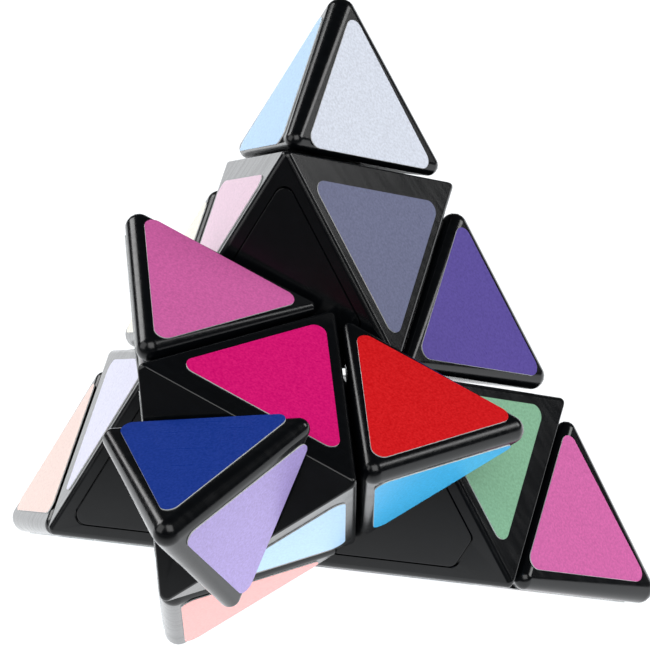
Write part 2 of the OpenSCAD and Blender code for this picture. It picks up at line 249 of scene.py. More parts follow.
@dataclass(frozen=True)
class MouldedPlastic:
    """Black moulded plastic, polished on the outside and satin inside."""

    name: str
    colour: Colour
    rough_low: float
    rough_high: float
    ripple: float

    def material(self) -> bpy.types.Material:
        """Build the material once, and return it."""
        if self.name in bpy.data.materials:
            return bpy.data.materials[self.name]
        board = NodeBoard(self.name)
        tint = board.remap(board.noise(900, 3), 0.35, 0.7, 0, 1)
        paler = tuple(c * 1.5 for c in self.colour)
        board.join(board.mix(tint, self.colour, paler), board.shader.inputs["Base Color"])
        scuffs = board.noise(160, 4, Vector((1, 9, 1)))
        board.join(board.remap(scuffs, 0.4, 0.75, self.rough_low, self.rough_high),
                   board.shader.inputs["Roughness"])
        board.bump(board.noise(420, 1), 0.02 * MM, self.ripple)
        board.shader.inputs["IOR"].default_value = 1.42
        return board.material


@dataclass(frozen=True)
class FilmFinish:
    """Thin coloured film with a fine satin grain and a few faint scratches."""

    name: str
    colour: Colour

    def material(self) -> bpy.types.Material:
        """Build the material once, and return it."""
        if self.name in bpy.data.materials:
            return bpy.data.materials[self.name]
        board = NodeBoard(self.name)
        grain = board.remap(board.noise(3200, 3), 0.3, 0.7, 0, 1)
        light = tuple(min(1.0, c * 1.12 + 0.012) for c in self.colour)
        dark = tuple(c * 0.88 for c in self.colour)
        board.join(board.mix(grain, dark, light), board.shader.inputs["Base Color"])
        scratches = board.noise(500, 2, Vector((0.12, 8, 1)))
        board.join(board.remap(scratches, 0.62, 0.75, 0.34, 0.26),
                   board.shader.inputs["Roughness"])
        board.bump(board.noise(2600, 2), 0.012 * MM, 0.5)
        board.shader.inputs["IOR"].default_value = 1.45
        board.shader.inputs["Specular IOR Level"].default_value = 0.28
        return board.material


@dataclass(frozen=True)
class PlatedSteel:
    """Zinc-plated steel of the screws, springs and washers."""

    name: str = "zinc_plate"

    def material(self) -> bpy.types.Material:
        """Build the material once, and return it."""
        if self.name in bpy.data.materials:
            return bpy.data.materials[self.name]
        board = NodeBoard(self.name)
        patches = board.remap(board.noise(700, 3), 0.3, 0.7, 0, 1)
        board.join(board.mix(patches, (0.5, 0.5, 0.52), (0.66, 0.65, 0.62)),
                   board.shader.inputs["Base Color"])
        board.join(board.remap(patches, 0, 1, 0.22, 0.4), board.shader.inputs["Roughness"])
        board.shader.inputs["Metallic"].default_value = 1.0
        return board.material


OUTER_BLACK = MouldedPlastic("outer_black", (0.0012, 0.0016, 0.0022), 0.19, 0.27, 0.10)
INNER_BLACK = MouldedPlastic("inner_black", (0.004, 0.0045, 0.005), 0.35, 0.5, 0.3)
STEEL = PlatedSteel()
FILM_RIM = FilmFinish("film_rim", (0.72, 0.74, 0.74))


class Shade(Enum):
    """Colours of the films."""

    WHITE = (0.66, 0.70, 0.79)
    SLATE = (0.125, 0.137, 0.235)
    VIOLET = (0.078, 0.048, 0.29)
    GREEN = (0.205, 0.42, 0.265)
    PINK = (0.60, 0.115, 0.355)
    MAGENTA = (0.66, 0.0, 0.155)
    RED = (0.65, 0.003, 0.006)
    SKY = (0.04, 0.42, 0.76)
    NAVY = (0.0, 0.026, 0.24)
    ICE = (0.34, 0.56, 0.80)
    CREAM = (0.80, 0.76, 0.66)
    LAVENDER = (0.58, 0.58, 0.74)
    BLUSH = (0.66, 0.44, 0.56)
    PEACH = (0.72, 0.52, 0.46)
    SALMON = (0.90, 0.30, 0.28)
    LILAC = (0.39, 0.31, 0.64)

    @property
    def finish(self) -> FilmFinish:
        """The film finish of this shade."""
        return FilmFinish(f"film_{self.name.lower()}", self.value)


# ---------------------------------------------------------------- layout


class Pose(Enum):
    """How far a block is turned about the front corner's axis."""

    STILL = "still"
    LAYER = "layer"
    TIP = "tip"


@dataclass
class Layout:
    """Where the puzzle's centre and corner axes lie in the frame."""

    sizes: Sizes
    centre: Vector
    axes: dict[Corner, Vector]

    @classmethod
    def from_frame(cls, sizes: Sizes, joints: Iterable[dict]) -> "Layout":
        """Read the centre and the four axes from the joints.

        Args:
            sizes: the driving dimensions.
            joints: the frame's joints.

        Returns:
            The layout.
        """
        by_name = {joint["name"]: joint for joint in joints}
        axes = {corner: Vector(by_name[f"{corner.value}_tip_turn"]["axis"]).normalized()
                for corner in Corner}
        return cls(sizes, Vector(by_name["front_layer_turn"]["pos_m"]), axes)

    def directions(self, pose: Pose) -> dict[Corner, Vector]:
        """Corner directions as seen by a block in this pose.

        Args:
            pose: how the block is turned.

        Returns:
            A unit vector for each corner.
        """
        angle = {Pose.STILL: 0.0, Pose.LAYER: self.sizes.layer_turn,
                 Pose.TIP: self.sizes.layer_turn + self.sizes.tip_turn}[pose]
        turn = Matrix.Rotation(math.radians(angle), 3, self.axes[Corner.FRONT])
        return {corner: turn @ axis for corner, axis in self.axes.items()}


# ---------------------------------------------------------------- solids


def meet(planes: Iterable[Plane], inset: float) -> Vector | None:
    """Point where three planes meet, each moved inwards.

    Args:
        planes: three planes, each an outward normal and a distance.
        inset: how far each plane moves inwards.

    Returns:
        The point, or None where the planes don't meet in one point.
    """
    (n1, d1), (n2, d2), (n3, d3) = planes
    volume = n1.dot(n2.cross(n3))
    if abs(volume) < PARALLEL:
        return None
    total = (d1 - inset) * n2.cross(n3) + (d2 - inset) * n3.cross(n1) + (d3 - inset) * n1.cross(n2)
    return total / volume


def corners_of(planes: list[Plane]) -> list[tuple[tuple[int, int, int], Vector]]:
    """Corners of the block that planes enclose.

    Args:
        planes: the block's planes.

    Returns:
        Each corner's three plane numbers and its place.
    """
    found = []
    for trio in combinations(range(len(planes)), 3):
        point = meet([planes[i] for i in trio], 0.0)
        if point is not None and all(n.dot(point) <= d + TOUCHING for n, d in planes):
            found.append((trio, point))
    return found


def new_object(name: str, mesh: bpy.types.Mesh) -> bpy.types.Object:
    """Put a mesh into the scene as an object at the origin."""
    thing = bpy.data.objects.new(name, mesh)
    bpy.context.scene.collection.objects.link(thing)
    return thing


def mesh_from(name: str, build: Fill, move: Matrix) -> bpy.types.Mesh:
    """Make a mesh by a function that fills a bmesh.

    Args:
        name: the mesh's name.
        build: fills the bmesh.
        move: matrix applied to the result.

    Returns:
        The mesh, closed and facing outwards.
    """
    work = bmesh.new()
    build(work)
    bmesh.ops.remove_doubles(work, verts=work.verts, dist=WELD)
    bmesh.ops.recalc_face_normals(work, faces=work.faces)
    bmesh.ops.transform(work, matrix=move, verts=work.verts)
    mesh = bpy.data.meshes.new(name)
    work.to_mesh(mesh)
    work.free()
    return mesh


@dataclass
class RoundedSolid:
    """A flat-faced solid whose corners and edges are rounded by rolling balls."""

    planes: list[Plane]
    radius: Callable[[Vector], float]
    steps: int = 8

    def fill(self, work: bmesh.types.BMesh) -> None:
        """Add the solid's faces to a bmesh.

        Args:
            work: the bmesh to fill.
        """
        balls = []
        for trio, point in corners_of(self.planes):
            radius = self.radius(point)
            balls.append((trio, meet([self.planes[i] for i in trio], radius), radius))
        for trio, centre, radius in balls:
            self._ball(work, [self.planes[i][0] for i in trio], centre, radius)
        for (trio_a, a, ra), (trio_b, b, rb) in combinations(balls, 2):
            shared = sorted(set(trio_a) & set(trio_b))
            if len(shared) == 2:
                self._strip(work, shared, (a, ra), (b, rb))
        for index, (normal, _) in enumerate(self.planes):
            ring = [centre + normal * radius for trio, centre, radius in balls if index in trio]
            if len(ring) >= 3:
                self._flat(work, ring, normal)

    def _blend(self, first: Vector, second: Vector, share: float) -> Vector:
        """Unit vector between two normals."""
        return (first * (1 - share) + second * share).normalized()

    def _ball(self, work: bmesh.types.BMesh, normals: list[Vector], centre: Vector,
              radius: float) -> None:
        """Add the round triangle at one corner."""
        n = self.steps
        grid = {}
        for i in range(n + 1):
            for j in range(n + 1 - i):
                mixed = normals[0] * i + normals[1] * j + normals[2] * (n - i - j)
                grid[i, j] = work.verts.new(centre + mixed.normalized() * radius)
        for i in range(n):
            for j in range(n - i):
                work.faces.new((grid[i, j], grid[i + 1, j], grid[i, j + 1]))
                if i + j < n - 1:
                    work.faces.new((grid[i + 1, j], grid[i + 1, j + 1], grid[i, j + 1]))

    def _strip(self, work: bmesh.types.BMesh, shared: list[int], a: tuple[Vector, float],
               b: tuple[Vector, float]) -> None:
        """Add the rolled edge between two corners."""
        first, second = (self.planes[i][0] for i in shared)
        rails = []
        for step in range(self.steps + 1):
            normal = self._blend(first, second, step / self.steps)
            rails.append((work.verts.new(a[0] + normal * a[1]),
                          work.verts.new(b[0] + normal * b[1])))
        for (p, q), (r, s) in zip(rails, rails[1:]):
            work.faces.new((p, q, s, r))

    def _flat(self, work: bmesh.types.BMesh, ring: list[Vector], normal: Vector) -> None:
        """Add one flat face."""
        middle = sum(ring, Vector()) / len(ring)
        across = (ring[0] - middle).normalized()
        along = normal.cross(across)
        ring.sort(key=lambda p: math.atan2((p - middle).dot(along), (p - middle).dot(across)))
        work.faces.new([work.verts.new(p) for p in ring])


def sharp_solid(planes: list[Plane]) -> Fill:
    """Filler for the sharp solid that planes enclose.

    Args:
        planes: the solid's planes.

    Returns:
        A function that adds the solid to a bmesh.
    """
    def fill(work: bmesh.types.BMesh) -> None:
        """Add the hull of the solid's corners."""
        verts = [work.verts.new(point) for _, point in corners_of(planes)]
        bmesh.ops.convex_hull(work, input=verts)
    return fill


def rod(direction: Vector, start: float, end: float, radius: float,
        sides: int = 48) -> Fill:
    """Filler for a round rod on an axis through the centre.

    Args:
        direction: the axis.
        start: distance at which the rod starts.
        end: distance at which it ends.
        radius: the rod's radius.
        sides: number of flats.

    Returns:
        A function that adds the rod to a bmesh.
    """
    def fill(work: bmesh.types.BMesh) -> None:
        """Add the rod."""
        turn = direction.to_track_quat("Z", "Y").to_matrix().to_4x4()
        place = Matrix.Translation(direction * (start + end) / 2) @ turn
        bmesh.ops.create_cone(work, cap_ends=True, segments=sides, radius1=radius, radius2=radius,
                              depth=end - start, matrix=place)
    return fill


def rounded_outline(points: list[tuple[float, float]], radius: float,
                    steps: int = 8) -> list[Vector]:
    """Round the corners of a flat convex outline.

    Args:
        points: the outline's corners, anticlockwise.
        radius: the corners' radius.
        steps: number of segments at each corner.

    Returns:
        The rounded outline's points.
    """
    outline = []
    corners = [Vector(p) for p in points]
    for number, here in enumerate(corners):
        before = (corners[number - 1] - here).normalized()
        after = (corners[(number + 1) % len(corners)] - here).normalized()
        angle = before.angle(after)
        centre = here + (before + after).normalized() * radius / math.sin(angle / 2)
        start = math.atan2(before.x, -before.y)
        for step in range(steps + 1):
            turn = start + (math.pi - angle) * step / steps
            outline.append(centre + Vector((math.cos(turn), math.sin(turn))) * radius)
    return outline


def prism(outline: list[Vector], height: float) -> Fill:
    """Filler for a flat outline raised from the floor plane.

    Args:
        outline: the outline's points, anticlockwise.
        height: how high it rises.

    Returns:
        A function that adds the prism to a bmesh.
    """
    def fill(work: bmesh.types.BMesh) -> None:
        """Add the prism."""
        low = [work.verts.new((p.x, p.y, 0)) for p in outline]
        high = [work.verts.new((p.x, p.y, height)) for p in outline]
        work.faces.new(low)
        work.faces.new(high)
        for i, here in enumerate(low):
            work.faces.new((low[i - 1], here, high[i], high[i - 1]))
    return fill


def ball(radius: float) -> Fill:
    """Filler for a ball at the centre."""
    def fill(work: bmesh.types.BMesh) -> None:
        """Add the ball."""
        bmesh.ops.create_uvsphere(work, u_segments=96, v_segments=48, radius=radius)
    return fill


def freeze(thing: bpy.types.Object) -> None:
    """Turn an object's modifiers into plain mesh.

    Args:
        thing: the object.
    """
    bpy.context.view_layer.update()
    graph = bpy.context.evaluated_depsgraph_get()
    mesh = bpy.data.meshes.new_from_object(thing.evaluated_get(graph), depsgraph=graph)
    thing.modifiers.clear()
    old, thing.data = thing.data, mesh
    mesh.name = thing.name
    bpy.data.meshes.remove(old)


def carve(thing: bpy.types.Object, cutters: Iterable[bpy.types.Mesh]) -> None:
    """Cut closed meshes out of an object.

    Args:
        thing: the object to cut.
        cutters: the meshes to take away.
    """
    tools = []
    for mesh in cutters:
        tool = new_object(f"{thing.name}_tool", mesh)
        cut = thing.modifiers.new("cut", "BOOLEAN")
        cut.object, cut.operation, cut.solver = tool, "DIFFERENCE", "EXACT"
        tools.append(tool)
    freeze(thing)
    for tool in tools:
        mesh = tool.data
        bpy.data.objects.remove(tool)
        bpy.data.meshes.remove(mesh)


def smooth(thing: bpy.types.Object, angle: float = 32.0) -> None:
    """Shade an object smooth, with flat faces kept flat and sharp edges kept sharp.

    Args:
        thing: the object.
        angle: edges sharper than this stay sharp, in degrees.
    """
    mesh = thing.data
    for polygon in mesh.polygons:
        polygon.use_smooth = True
    mesh.set_sharp_from_angle(angle=math.radians(angle))
    weigh = thing.modifiers.new("weigh", "WEIGHTED_NORMAL")
    weigh.keep_sharp = True
    weigh.weight = 100
    freeze(thing)


# ---------------------------------------------------------------- cut plates


class CutPlate:
    """Geometry Nodes tree for a thin triangular plate with rounded corners."""

    corner_steps: ClassVar[int] = 10

    def __init__(self) -> None:
        """Build the tree with its named inputs."""
        self.tree = bpy.data.node_groups.new("cut_plate", "GeometryNodeTree")
        face = self.tree.interface
        self.sockets: dict[str, str] = {}
        numbers = (("Reach", "NodeSocketFloat", 0.01),
                   ("Corner Radius", "NodeSocketFloat", 0.002),
                   ("Thickness", "NodeSocketFloat", 0.0002),
                   ("Corner Steps", "NodeSocketInt", self.corner_steps))
        for name, kind, value in numbers:
            item = face.new_socket(name, in_out="INPUT", socket_type=kind)
            item.default_value = value
            self.sockets[name] = item.identifier
        for name in ("Top", "Rim"):
            item = face.new_socket(name, in_out="INPUT", socket_type="NodeSocketMaterial")
            self.sockets[name] = item.identifier
        face.new_socket("Geometry", in_out="OUTPUT", socket_type="NodeSocketGeometry")
        self._wire()

    def _wire(self) -> None:
        """Add and join the tree's nodes."""
        new, join = self.tree.nodes.new, self.tree.links.new
        given = new("NodeGroupInput").outputs
        circle = new("GeometryNodeCurvePrimitiveCircle")
        circle.inputs["Resolution"].default_value = 3
        join(given["Reach"], circle.inputs["Radius"])
        turn = new("GeometryNodeTransform")
        turn.inputs["Rotation"].default_value = (0, 0, math.pi / 2)
        join(circle.outputs["Curve"], turn.inputs["Geometry"])
        fillet = new("GeometryNodeFilletCurve")
        fillet.mode = "POLY"
        join(turn.outputs["Geometry"], fillet.inputs["Curve"])
        join(given["Corner Radius"], fillet.inputs["Radius"])
        join(given["Corner Steps"], fillet.inputs["Count"])
        sheet = new("GeometryNodeFillCurve")
        sheet.mode = "NGONS"
        join(fillet.outputs["Curve"], sheet.inputs["Curve"])
        raised = new("GeometryNodeExtrudeMesh")
        raised.inputs["Individual"].default_value = False
        join(sheet.outputs["Mesh"], raised.inputs["Mesh"])
        join(given["Thickness"], raised.inputs["Offset Scale"])
        under = new("GeometryNodeFlipFaces")
        join(sheet.outputs["Mesh"], under.inputs["Mesh"])
        dressed = new("GeometryNodeSetMaterial")
        join(raised.outputs["Mesh"], dressed.inputs["Geometry"])
        join(given["Top"], dressed.inputs["Material"])
        rim = new("GeometryNodeSetMaterial")
        join(dressed.outputs["Geometry"], rim.inputs["Geometry"])
        join(raised.outputs["Side"], rim.inputs["Selection"])
        join(given["Rim"], rim.inputs["Material"])
        under_dressed = new("GeometryNodeSetMaterial")
        join(under.outputs["Mesh"], under_dressed.inputs["Geometry"])
        join(given["Rim"], under_dressed.inputs["Material"])
        both = new("GeometryNodeJoinGeometry")
        join(rim.outputs["Geometry"], both.inputs["Geometry"])
        join(under_dressed.outputs["Geometry"], both.inputs["Geometry"])
        merged = new("GeometryNodeMergeByDistance")
        merged.inputs["Distance"].default_value = 1e-6
        join(both.outputs["Geometry"], merged.inputs["Geometry"])
        real = new("GeometryNodeRealizeInstances")
        join(merged.outputs["Geometry"], real.inputs["Geometry"])
        join(real.outputs["Geometry"], new("NodeGroupOutput").inputs["Geometry"])

    def make(self, name: str, reach: float, corner_r: float, thickness: float,
             top: bpy.types.Material, rim: bpy.types.Material) -> bpy.types.Object:
        """Make one plate on the floor plane, apex towards +Y.

        Args:
            name: the object's name.
            reach: distance from the plate's middle to its sharp corners.
            corner_r: radius of its corners.
            thickness: its thickness, from z = 0 upwards.
            top: material of the upper face.
            rim: material of the sides and underside.

        Returns:
            The plate, as a plain mesh.
        """
        thing = new_object(name, bpy.data.meshes.new(name))
        thing.data.materials.append(top)
        thing.data.materials.append(rim)
        modifier = thing.modifiers.new("plate", "NODES")
        modifier.node_group = self.tree
        values = {"Reach": reach, "Corner Radius": corner_r, "Thickness": thickness,
                  "Corner Steps": self.corner_steps, "Top": top, "Rim": rim}
        for socket, value in values.items():
            modifier[self.sockets[socket]] = value
        freeze(thing)
        return thing


def plate_place(centre: Vector, up: Vector, normal: Vector) -> Matrix:
    """Matrix that lays a flat plate on a plane.

    Args:
        centre: where the plate's origin goes.
        up: direction of its apex.
        normal: outward normal.

    Returns:
        The placing matrix.
    """
    turn = Matrix((up.cross(normal), up, normal)).transposed().to_4x4()
    return Matrix.Translation(centre) @ turn


# ---------------------------------------------------------------- blocks


@dataclass
class Block:
    """One block of the puzzle, with the body it rides on and its pose.

    A film leaves base_margin bare along the side opposite its cell's apex, and
    side_margin along the other two.
    """

    base_margin: ClassVar[float]
    side_margin: ClassVar[float]
    layout: Layout
    plates: CutPlate
    name: str
    body: str
    pose: Pose
    made: list[bpy.types.Object] = field(default_factory=list)

    @property
    def sizes(self) -> Sizes:
        """The driving dimensions."""
        return self.layout.sizes

    @property
    def dirs(self) -> dict[Corner, Vector]:
        """Corner directions as this block sees them."""
        return self.layout.directions(self.pose)

    @property
    def move(self) -> Matrix:
        """Matrix from the puzzle's centre to the frame."""
        return Matrix.Translation(self.layout.centre)

    def others(self, *corners: Corner) -> list[Corner]:
        """The corners that are not these."""
        return [corner for corner in Corner if corner not in corners]

    def skin(self, corner: Corner, inset: float = 0.0) -> Plane:
        """The face opposite a corner, moved inwards by inset."""
        return (-self.dirs[corner], self.sizes.skin_at - inset)

    def carved(self, name: str, build: Fill,
               cutters: Iterable[Fill]) -> bpy.types.Object:
        """Build a shell and cut its hollows out.

        Args:
            name: the piece's name.
            build: fills the outside.
            cutters: fillers of what is taken away.

        Returns:
            The shaded shell.
        """
        thing = new_object(name, mesh_from(name, build, self.move))
        carve(thing, [mesh_from("tool", cutter, self.move) for cutter in cutters])
        smooth(thing)
        return thing

    def dress(self, thing: bpy.types.Object, node: str, slot: str,
              finish: MouldedPlastic | None = None) -> None:
        """Give a piece its material and body, and hide the frame's node that it stands for.

        Args:
            thing: the piece.
            node: the frame's node that it stands for.
            slot: the record's material slot; not used.
            finish: the plastic, or None to keep the materials it has.
        """
        if finish is not None:
            thing.data.materials.clear()
            thing.data.materials.append(finish.material())
        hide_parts(node)
        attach(thing, self.body)
        self.made.append(thing)

    def film(self, number: int, cell: list[Vector], outward: Vector, shade: Shade) -> None:
        """Stick one film on a cell of a face.

        Args:
            number: the film's number on this block.
            cell: the cell's corners, apex first.
            outward: the face's normal.
            shade: the film's colour.
        """
        s = self.sizes
        centre = sum(cell, Vector()) / 3
        up = (cell[0] - centre).normalized()
        base, side = self.base_margin, self.side_margin
        in_r = s.cell_in_r - (base + 2 * side) / 3
        centre = centre + up * (base - side) * 2 / 3
        name = f"{self.name}_film_{number}"
        thing = self.plates.make(name, 2 * in_r, s.film_corner_r, s.film_t,
                                 shade.finish.material(), FILM_RIM.material())
        seat = plate_place(centre - outward * s.film_t, up, outward)
        thing.data.transform(self.move @ seat)
        self.dress(thing, f"{self.name}_films", f"{self.name}_films")


@dataclass
class Tip(Block):
    """A turning tip: a hollow cap with three films."""

    base_margin: ClassVar[float] = 1.0 * MM
    side_margin: ClassVar[float] = 3.2 * MM
    corner: Corner = Corner.TOP
    shades: tuple[Shade, ...] = ()

    def build(self) -> None:
        """Build the cap and its films."""
        s, dirs, axis = self.sizes, self.dirs, self.dirs[self.corner]
        foot = s.tip_at + s.tip_gap / 2
        planes = [self.skin(c) for c in self.others(self.corner)] + [(-axis, -foot)]
        middle = (s.corner_at + foot) / 2
        solid = RoundedSolid(
            planes, lambda p: s.tip_point_r if p.dot(axis) > middle else s.tip_rim_r, 10)
        hollow = [self.skin(c, s.wall) for c in self.others(self.corner)]
        hollow += [(-axis, -(foot - s.tip_gap))]
        cap = self.carved(f"{self.name}_shell", solid.fill, [sharp_solid(hollow)])
        self.dress(cap, f"{self.name}_cap", "shell_plastic", OUTER_BLACK)
        for number, (face, shade) in enumerate(zip(self.others(self.corner), self.shades), 1):
            rest = self.others(self.corner, face)
            apex = axis * s.corner_at
            cell = [apex] + [(2 * axis + dirs[c]) * s.corner_at / 3 for c in rest]
            self.film(number, cell, -dirs[face], shade)


@dataclass
class CornerBlock(Block):
    """An eight-sided corner block with three side covers and three films.

    Its faces lean inwards by lip_lean for each unit of height, and lip_stops
    are the angles of the steps that round its top edge.
    """

    base_margin: ClassVar[float] = 3.5 * MM
    side_margin: ClassVar[float] = 1.9 * MM
    lip_lean: ClassVar[float] = 0.35
    lip_stops: ClassVar[tuple[int, ...]] = (0, 30, 60, 90)
    cut_past: ClassVar[float] = 5 * MM
    screw_from: ClassVar[float] = 5 * MM
    corner: Corner = Corner.TOP
    shades: tuple[Shade, ...] = ()
    keyed: Corner = Corner.LEFT
    cover_margin: float = 2.0 * MM
    cover_slit: float = 0.15 * MM
    cover_corner_r: float = 1.4 * MM
    cover_key: float = 4.3 * MM
    cover_t: float = 1.2 * MM
    cover_rim: float = 0.7 * MM

    def build(self) -> None:
        """Build the body, its covers and its films."""
        s, dirs, axis = self.sizes, self.dirs, self.dirs[self.corner]
        top = s.tip_at - s.tip_gap / 2
        planes = [self.skin(c) for c in self.others(self.corner)]
        planes += [(dirs[c], s.layer_at - s.layer_gap / 2) for c in self.others(self.corner)]
        planes += [(-axis, -(s.layer_at + s.layer_gap / 2))]
        solid = RoundedSolid(planes, lambda p: s.axial_r, 6)

        def outside(work: bmesh.types.BMesh) -> None:
            """Fill the rounded block and trim its top."""
            solid.fill(work)
            bmesh.ops.remove_doubles(work, verts=work.verts, dist=WELD)
            everything = work.verts[:] + work.edges[:] + work.faces[:]
            lip = s.axial_lip_r
            cut = bmesh.ops.bisect_plane(work, geom=everything, plane_co=axis * (top - lip),
                                         plane_no=axis, clear_outer=True, dist=1e-7)
            rim = [g for g in cut["geom_cut"] if isinstance(g, bmesh.types.BMEdge)]
            for start, end in zip(self.lip_stops, self.lip_stops[1:]):
                rim = self._raised(work, rim, axis, start, end)
            bmesh.ops.contextual_create(work, geom=rim)

        cutters = [ball(s.cavity_r),
                   rod(axis, top - s.cup_depth, top + self.cut_past, s.cup_r),
                   rod(axis, self.screw_from, top, s.screw_r, 24)]
        body = self.carved(f"{self.name}_shell", outside, cutters)
        pockets = [self._cover(side, -self.cover_slit, self.cut_past)
                   for side in self.others(self.corner)]
        meshes = [pocket.data.copy() for pocket in pockets]
        for pocket in pockets:
            bpy.data.objects.remove(pocket)
        carve(body, meshes)
        smooth(body)
        self.dress(body, self.name, "shell_plastic", OUTER_BLACK)
        covers = [self._cover(side, 0.0, self.cover_t) for side in self.others(self.corner)]
        lid = self._joined(covers, f"{self.name}_side_lids")
        bevel = lid.modifiers.new("ease", "BEVEL")
        bevel.width, bevel.segments, bevel.limit_method = 0.12 * MM, 2, "ANGLE"
        freeze(lid)
        smooth(lid)
        self.dress(lid, f"{self.name}_covers", "shell_plastic", OUTER_BLACK)
        for number, (face, shade) in enumerate(zip(self.others(self.corner), self.shades), 1):
            rest = self.others(self.corner, face)
            cell = [-dirs[face] * s.face_at]
            cell += [(2 * axis + dirs[c]) * s.corner_at / 3 for c in rest]
            self.film(number, cell, -dirs[face], shade)

    def _raised(self, work: bmesh.types.BMesh, rim: list[bmesh.types.BMEdge], axis: Vector,
                start: float, end: float) -> list[bmesh.types.BMEdge]:
        """Grow one step of the small rounding around the block's top.

        Args:
            work: the bmesh.
            rim: the open ring of edges.
            axis: the block's axis.
            start: angle around the rounding at the ring, in degrees.
            end: angle at the new ring.

        Returns:
            The new ring of edges.
        """
        r, a, b = self.sizes.axial_lip_r, math.radians(start), math.radians(end)
        rise = math.sin(b) - math.sin(a)
        inwards = math.cos(a) - math.cos(b) + self.lip_lean * rise
        share = 1 - r * inwards / self.sizes.cell_in_r
        grown = bmesh.ops.extrude_edge_only(work, edges=rim)["geom"]
        for vert in (g for g in grown if isinstance(g, bmesh.types.BMVert)):
            along = axis * vert.co.dot(axis)
            vert.co = along + (vert.co - along) * share + axis * r * rise
        return [g for g in grown if isinstance(g, bmesh.types.BMEdge)]

    def _cover(self, side: Corner, shrink: float, height: float) -> bpy.types.Object:
        """Make the plate of one side cover, or its pocket.

        Args:
            side: the corner that the side faces.
            shrink: how much smaller than the cover.
            height: thickness from the cover's seat outwards.

        Returns:
            The placed plate.
        """
        s, axis, out = self.sizes, self.dirs[self.corner], self.dirs[side]
        level = s.layer_at - s.layer_gap / 2
        reach = math.sqrt(s.cavity_r ** 2 - level ** 2)
        base = max(self.cover_margin, reach + self.cover_rim - s.cell_in_r) + shrink
        margin = self.cover_margin + shrink
        low, high = base - s.cell_in_r, 2 * (s.cell_in_r - margin)
        lean = math.tan(math.radians(30))
        half, cut = (high - low) * lean, self.cover_key * lean
        peak = [(0, high)]
        if side == self.keyed:
            peak = [(cut, high - self.cover_key), (-cut, high - self.cover_key)]
        outline = rounded_outline([(half, low), *peak, (-half, low)], self.cover_corner_r)
        centre = axis * s.face_at + out * (2 / 3 * s.face_at - s.layer_gap / 2 - self.cover_t)
        place = self.move @ plate_place(centre, (axis + out / 3).normalized(), out)
        name = f"{self.name}_lid"
        return new_object(name, mesh_from(name, prism(outline, height), place))

    def _joined(self, things: list[bpy.types.Object], name: str) -> bpy.types.Object:
        """Join objects into one mesh.

        Args:
            things: the objects to join.
            name: the new object's name.

        Returns:
            The joined object.
        """
        work = bmesh.new()
        for thing in things:
            work.from_mesh(thing.data)
            bpy.data.objects.remove(thing)
        mesh = bpy.data.meshes.new(name)
        work.to_mesh(mesh)
        work.free()
        return new_object(name, mesh)


@dataclass
class EdgeBlock(Block):
    """A four-sided edge block with two films."""

    base_margin: ClassVar[float] = 2.9 * MM
    side_margin: ClassVar[float] = 2.2 * MM
    neck_past: ClassVar[float] = 8 * MM
    ends: tuple[Corner, Corner] = (Corner.TOP, Corner.LEFT)
    shades: tuple[Shade, ...] = ()

    def build(self) -> None:
        """Build the body and its films."""
        s, dirs = self.sizes, self.dirs
        one, two = (dirs[c] for c in self.ends)
        out = (one + two).normalized()
        sides = self.others(*self.ends)
        low = s.layer_at + s.layer_gap / 2
        planes = [self.skin(c) for c in sides] + [(-one, -low), (-two, -low)]
        middle = (s.corner_at * (one + two).length / 2 + 2 * s.layer_at / (one + two).length) / 2
        solid = RoundedSolid(
            planes, lambda p: s.edge_end_r if p.dot(out) > middle else s.edge_root_r, 10)
        cutters = [rod(out, 0.0, s.cavity_r, s.pocket_r),
                   rod(out, s.cavity_r - MM, s.cavity_r + self.neck_past, s.neck_r, 24)]
        body = self.carved(f"{self.name}_shell", solid.fill, cutters)
        self.dress(body, self.name, "shell_plastic", OUTER_BLACK)
        for number, (face, shade) in enumerate(zip(sides, self.shades), 1):
            cell = [-dirs[face] * s.face_at, (2 * one + two) * s.corner_at / 3,
                    (one + 2 * two) * s.corner_at / 3]
            self.film(number, cell, -dirs[face], shade)


# ---------------------------------------------------------------- inside


@dataclass
class InnerWorks:
    """The core, fixings, feet and tip bases, which keep their own shapes."""

    nodes: dict[str, bpy.types.Object]
    steel: tuple[str, ...] = ("axle_screws", "springs", "spring_washers")

    def dress(self) -> int:
        """Give each inner node its finish.

        Returns:
            How many nodes were dressed.
        """
        count = 0
        for name, thing in self.nodes.items():
            if name in self.steel:
                finish, slot = STEEL.material(), "fixing_steel"
            elif name == "core" or name.endswith(("_foot", "_base")):
                finish, slot = INNER_BLACK.material(), "inner_plastic"
            else:
                continue
            thing.data.materials.clear()
            thing.data.materials.append(finish)
            count += 1
        return count


# ---------------------------------------------------------------- studio


